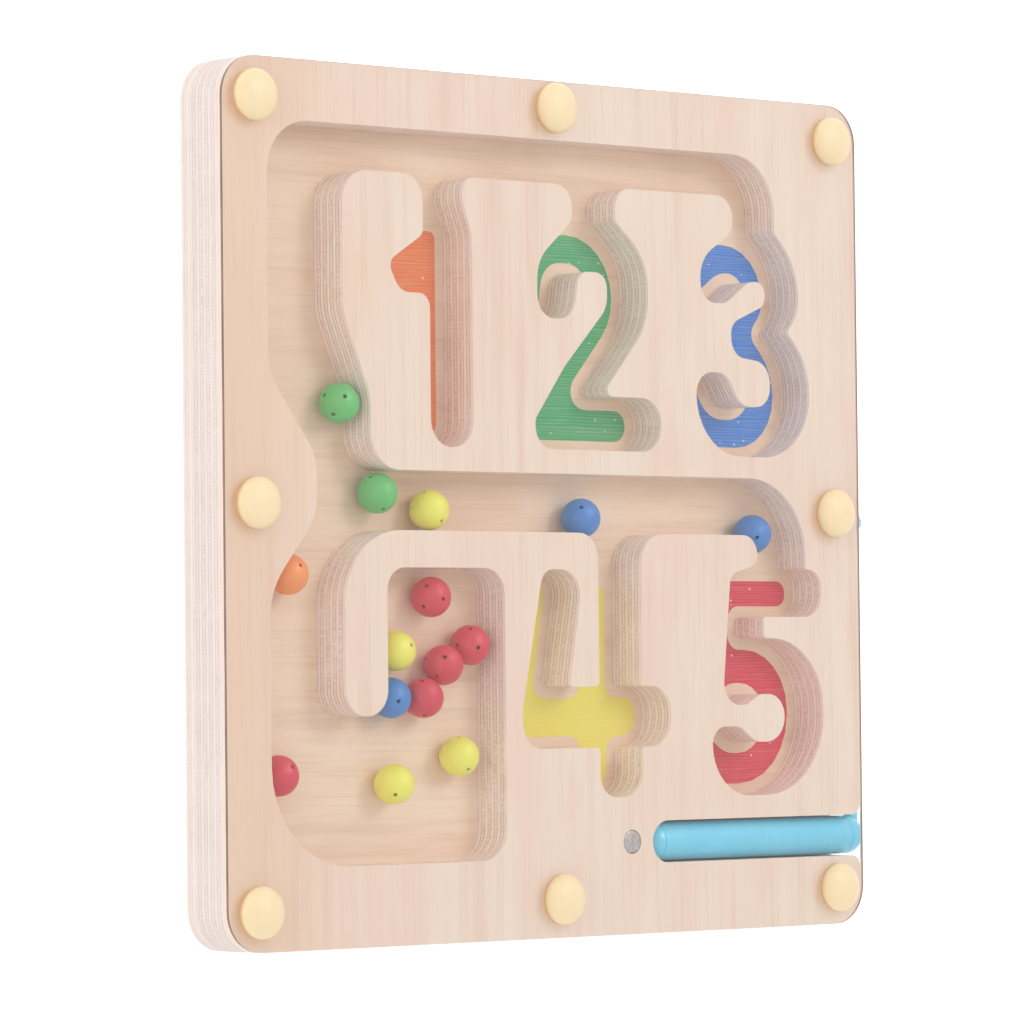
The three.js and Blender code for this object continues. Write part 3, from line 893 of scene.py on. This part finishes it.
def make_light():
    world = bpy.data.worlds.new("studio_air")
    world.use_nodes = True
    sky = world.node_tree.nodes["Background"]
    sky.inputs["Color"].default_value = (1, 1, 1, 1)
    sky.inputs["Strength"].default_value = AIR_STRENGTH
    bpy.context.scene.world = world
    for name, (place, size, power) in LAMPS.items():
        make_lamp(name, place, size, power)
    bpy.context.scene.view_settings.view_transform = "Standard"


make_stage()
make_light()

# ---------- wood ----------

MAZE_BEVEL = 0.0005
BACK_BEVEL = 0.0003
COVER_BEVEL = 0.0006
COVER_GAP = 0.00004
HOLE_REACH = 0.004


def make_board():
    maze = finished_copy("maze_board", "maze_plywood_board", MAZE_BEVEL)
    dress(maze, maze_ply())
    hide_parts("maze_board")
    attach(maze, BOARD)
    back = finished_copy("back_panel", "back_plywood_panel", BACK_BEVEL)
    dress(back, back_ply())
    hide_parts("back_panel")
    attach(back, BOARD)


def make_cover():
    """The clear sheet, with its outer edge and top arris in the look of a sawn rim."""
    cover = finished_copy(
        "clear_cover", "clear_acrylic_cover", COVER_BEVEL, segments=2, lift=COVER_GAP
    )
    dress(cover, clear_acrylic())
    cover.data.materials.append(cut_rim())
    boxes = [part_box("rivet_" + where) for where in RIVETS]
    holes = [(low + high) / 2 for low, high in boxes]
    for face in cover.data.polygons:
        spot = face.center
        in_hole = any(math.hypot(spot.x - h.x, spot.y - h.y) < HOLE_REACH for h in holes)
        if abs(face.normal.z) < 0.97 and not in_hole:
            face.material_index = 1
    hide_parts("clear_cover")
    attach(cover, BOARD)


make_board()
make_cover()

# ---------- printed numbers ----------

# For each number: its ink, the wood stained by it, and how many bare specks it has.
INKS = {
    "one": ("ee6e20", "e2c8a0", 0.3),
    "two": ("22a866", "ccc8aa", 0.6),
    "three": ("2c7adc", "b4c8aa", 0.7),
    "four": ("f0df46", "e2c8b4", 0.5),
    "five": ("dc083c", "e29690", 1.0),
}

INK_T = 0.00008


def make_prints():
    """Each number as a film of ink, thin enough for a ball to roll over without touching it."""
    for number, (colour, wood, specks) in INKS.items():
        film = finished_copy("print_" + number, "ink_film_" + number, 0)
        for v in film.data.vertices:
            v.co.z = min(v.co.z, BACK_T + INK_T)
        dress(film, printed("ink_" + number, colour, wood, specks))
        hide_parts("print_" + number)
        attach(film, BOARD)


make_prints()

# ---------- rivet caps ----------

def make_rivets():
    cream = cap_cream()
    low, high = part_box("rivet_top_left")
    head = (high.y - low.y) / 2 / MM
    top = high.z / MM
    cover = COVER_TOP / MM
    base = low.z / MM
    rim = cover + 1.5
    profile = [
        (0, base),
        (2.9, base, 0.4),
        (2.9, cover + 0.02),
        (head - 0.1, cover + 0.02, 0.25),
        (head, rim),
    ]
    dome = []
    for k in range(1, 17):
        angle = k / 16 * math.pi / 2
        dome.append((head * math.cos(angle), rim + (top - rim) * math.sin(angle)))
    dome[-1] = (0, top)
    mesh = turned("rivet_cap", rounded(profile) + dome, 64)
    for where in RIVETS:
        low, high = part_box("rivet_" + where)
        made = add_object("cap_" + where, mesh)
        made.location = ((low.x + high.x) / 2, (low.y + high.y) / 2, 0)
        dress(made, cream)
        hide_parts("rivet_" + where)
        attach(made, BOARD)


make_rivets()

# ---------- balls ----------

BALL_R = 7.0
BALL_WALL = 1.6
VENT_R = 0.75
VENT_ANGLE = 38
VENT_COUNT = 3
DRILL_REACH = 9
BALL_STEPS = 48
CAVITY_STEPS = 24
SEAM_DEPTH = 0.035
BALL_INKS = {
    "orange": ("ff9654", "ee8440"),
    "green": ("6cc470", "56aa5c"),
    "blue": ("4a86cc", "386fb4"),
    "yellow": ("f6ec66", "e2d64c"),
    "red": ("dc3a4c", "c02c40"),
}


def ball_mesh():
    """A hollow ball with a faint mould seam and three vent holes round each pole."""
    outer = []
    for k in range(BALL_STEPS + 1):
        angle = math.pi * k / BALL_STEPS - math.pi / 2
        radius = BALL_R - (SEAM_DEPTH if k == BALL_STEPS // 2 else 0)
        outer.append((max(0, radius * math.cos(angle)), radius * math.sin(angle)))
    outer[0] = (0, -BALL_R)
    outer[-1] = (0, BALL_R)
    ball = add_object("ball_blank", turned("ball_blank", outer, 72))
    tools = []
    cavity = BALL_R - BALL_WALL
    inside = []
    for k in range(CAVITY_STEPS + 1):
        angle = math.pi * k / CAVITY_STEPS - math.pi / 2
        inside.append((max(0, cavity * math.cos(angle)), cavity * math.sin(angle)))
    inside[0] = (0, inside[0][1])
    inside[-1] = (0, inside[-1][1])
    tools.append(add_object("cavity", turned("cavity", inside, 36)))
    bit = [(0, -DRILL_REACH), (VENT_R, -DRILL_REACH), (VENT_R, DRILL_REACH), (0, DRILL_REACH)]
    for k in range(VENT_COUNT):
        drill = add_object("drill", turned("drill", bit, 20))
        around = math.radians(360 / VENT_COUNT * k)
        drill.rotation_euler = Euler((0, math.radians(VENT_ANGLE), around))
        tools.append(drill)
    for tool in tools:
        hole = ball.modifiers.new("hole", "BOOLEAN")
        hole.operation = "DIFFERENCE"
        hole.solver = "EXACT"
        hole.object = tool
    mesh = applied(ball)
    mesh.name = "vented_ball"
    for tool in tools:
        bpy.data.objects.remove(tool)
    shade(mesh, 40)
    return mesh


# For each ball, which way a pole with its three vents points, and one of those vents.
VENTS = {
    "orange_1": ((0.59, 0.57, 0.58), (0.05, 0.42, 0.90)),
    "green_1": ((-0.85, 0.04, 0.53), (-0.92, 0.39, -0.04)),
    "green_2": ((-0.01, 1.00, 0.03), (0.44, 0.78, 0.44)),
    "blue_1": ((-0.19, 0.94, 0.30), (-0.55, 0.52, 0.65)),
    "blue_2": ((0.09, -0.53, 0.84), (-0.47, -0.21, 0.85)),
    "blue_3": ((0.33, -0.31, 0.89), (-0.30, -0.17, 0.94)),
    "yellow_1": ((0.63, -0.65, 0.43), (0.11, -0.56, 0.82)),
    "yellow_2": ((-0.74, 0.01, -0.68), (-0.59, 0.62, -0.51)),
    "yellow_3": ((0.45, -0.81, 0.37), (-0.06, -0.66, 0.75)),
    "yellow_4": ((-0.11, -0.93, 0.35), (-0.51, -0.53, 0.68)),
    "red_1": ((-0.65, -0.02, 0.76), (-0.69, 0.56, 0.46)),
    "red_2": ((-0.70, 0.28, 0.66), (-0.99, -0.01, 0.15)),
    "red_3": ((-0.93, 0.07, 0.35), (-0.54, 0.41, 0.74)),
    "red_4": ((0.21, 0.95, 0.23), (0.60, 0.56, 0.57)),
    "red_5": ((-0.72, -0.19, -0.67), (-0.67, 0.46, -0.59)),
}


def ball_turn(pole, vent):
    """The rotation that stands a ball's pole and one vent in the given directions."""
    up = Vector(pole).normalized()
    ahead = Vector(vent)
    ahead = (ahead - up * ahead.dot(up)).normalized()
    return Matrix((ahead, up.cross(ahead), up)).transposed().to_4x4()


def make_balls():
    mesh = ball_mesh()
    steel = satin_steel("core_steel", "c4c0bc")
    paints = {}
    for colour, inks in BALL_INKS.items():
        paints[colour] = moulded(
            "ball_" + colour, *inks, 0.4, 0.12, Subsurface_Weight=0.3, Subsurface_Scale=0.004
        )
    for which, (pole, vent) in VENTS.items():
        colour = which.split("_")[0]
        low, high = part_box("ball_" + which)
        made = add_object("vented_ball_" + which, mesh.copy())
        dress(made, paints[colour])
        made.matrix_world = Matrix.Translation((low + high) / 2) @ ball_turn(pole, vent)
        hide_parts("ball_" + which)
        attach(made, which)
        dress(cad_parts["core_" + which], steel)


make_balls()

# ---------- wand, disc and anchor ----------

WAND_R = 7.0
SPIGOT_R = 4.5
BORE_R = 4.8
SPIGOT = 5.0
POCKET_R = 4.15
POCKET_START = 3.2
NOSE_STEPS = 14
JOINT = 0.2

tip_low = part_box("wand_tip")[0]
barrel_low, barrel_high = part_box("wand_barrel")
tail_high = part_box("wand_tail")[1]
barrel_middle = (barrel_low + barrel_high) / 2
WAND_START = Vector((tip_low.x, barrel_middle.y, barrel_middle.z))
TIP_END = (barrel_low.x - tip_low.x) / MM - 0.3
BARREL_START = (barrel_low.x - tip_low.x) / MM
BARREL_END = (barrel_high.x - tip_low.x) / MM
TAIL_START = BARREL_END + 0.3
TAIL_END = (tail_high.x - tip_low.x) / MM
BOSS_X = 0.153
BOSS_R = 2.6
BOSS_STRAIGHT = 9.0
BOSS_END_R = 1.6


def along_wand(obj):
    """Lays a piece turned about +Z along the wand's axis, from tip to tail."""
    obj.matrix_world = Matrix.Translation(WAND_START) @ Matrix.Rotation(math.pi / 2, 4, "Y")


def nose(start, reach):
    """Profile of a rounded end that closes on the wand's axis after the given reach."""
    points = []
    for k in range(NOSE_STEPS + 1):
        angle = k / NOSE_STEPS * math.pi / 2
        points.append((WAND_R * math.cos(angle), start + reach * math.sin(angle)))
    points[-1] = (0, start + reach)
    return points


def wand_piece(name, node, mesh, material):
    made = add_object(name, mesh)
    along_wand(made)
    dress(made, material)
    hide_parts(node)
    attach(made, WAND)


def tip_mesh():
    """The rounded tip with its spigot and the pocket for the magnet."""
    dome = [(r, -h) for r, h in nose(-TIP_END, TIP_END)]
    dome.reverse()
    inner = [
        (WAND_R - 0.1, TIP_END),
        (SPIGOT_R, TIP_END),
        (SPIGOT_R, TIP_END + SPIGOT, 0.3),
        (POCKET_R, TIP_END + SPIGOT),
        (POCKET_R, POCKET_START),
        (0, POCKET_START),
    ]
    dome[-1] = (WAND_R, TIP_END - 0.1)
    return turned("wand_tip", dome + rounded(inner), 72)


def tail_mesh():
    """The rounded tail with its spigot, joined to the boss that the cord comes out of."""
    body = [
        (0, TAIL_START - SPIGOT),
        (SPIGOT_R, TAIL_START - SPIGOT, 0.3),
        (SPIGOT_R, TAIL_START),
        (WAND_R - 0.1, TAIL_START),
        (WAND_R, TAIL_START + 0.1),
    ]
    wall = TAIL_START + 2
    profile = rounded(body) + nose(wall, TAIL_END - wall)
    blank = add_object("tail_blank", turned("tail_blank", profile, 72))
    along_wand(blank)
    reach = (tail_high.y - WAND_START.y) / MM
    boss_profile = [
        (0, 0),
        (BOSS_R, 0),
        (BOSS_R, BOSS_STRAIGHT, 2),
        (BOSS_END_R, reach, 0.3),
        (0, reach),
    ]
    boss = add_object("boss_blank", turned("boss_blank", rounded(boss_profile), 40))
    foot = Matrix.Translation((BOSS_X, WAND_START.y, WAND_START.z))
    boss.matrix_world = foot @ Matrix.Rotation(-math.pi / 2, 4, "X")
    join = blank.modifiers.new("join", "BOOLEAN")
    join.operation = "UNION"
    join.solver = "EXACT"
    join.object = boss
    mesh = applied(blank)
    bpy.data.objects.remove(boss)
    mesh.name = "wand_tail"
    shade(mesh, 30)
    return mesh


def make_wand():
    blue = moulded(
        "wand_plastic", "74d0ec", "5cbedc", 0.3, 0.12, Coat_Weight=0.15, Coat_Roughness=0.2
    )
    wand_piece("wand_tip_moulding", "wand_tip", tip_mesh(), blue)
    start = BARREL_START - JOINT
    end = BARREL_END + JOINT
    wall = [
        (BORE_R, start, 0.2),
        (WAND_R, start, 0.15),
        (WAND_R, end, 0.15),
        (BORE_R, end, 0.2),
    ]
    tube = turned("wand_tube", rounded(wall, closed=True), 72, closed=True)
    wand_piece("wand_tube", "wand_barrel", tube, blue)
    wand_piece("wand_tail_moulding", "wand_tail", tail_mesh(), blue)
    dress(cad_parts["wand_magnet"], satin_steel("magnet_nickel", "9a9aa0"))
    return blue


def make_disc():
    low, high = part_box("keeper_disc")
    radius = (high.y - low.y) / 2 / MM
    base = low.z / MM
    top = high.z / MM
    profile = [(0, base), (radius, base, 0.3), (radius, top, 0.3), (0, top)]
    disc = add_object("steel_disc", turned("steel_disc", rounded(profile), 64))
    disc.location = ((low.x + high.x) / 2, (low.y + high.y) / 2, 0)
    dress(disc, satin_steel("disc_steel", "d6cac8", 0.6))
    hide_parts("keeper_disc")
    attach(disc, BOARD)


def make_anchor(blue):
    low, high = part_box("cord_anchor")
    start = low.x / MM
    end = high.x / MM
    head = (high.y - low.y) / 2 / MM
    side = HALF / MM + 0.3
    profile = [
        (0, start),
        (2, start, 0.3),
        (2, side),
        (head, side, 0.3),
        (head, end - 4, 1.5),
        (1.6, end, 0.3),
        (0, end),
    ]
    anchor = add_object("anchor_stub", turned("anchor_stub", rounded(profile), 48))
    middle = Vector((0, (low.y + high.y) / 2, (low.z + high.z) / 2))
    anchor.matrix_world = Matrix.Translation(middle) @ Matrix.Rotation(math.pi / 2, 4, "Y")
    dress(anchor, blue)
    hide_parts("cord_anchor")
    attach(anchor, BOARD)


wand_blue = make_wand()
make_disc()
make_anchor(wand_blue)

# ---------- end ----------

bpy.context.view_layer.update()
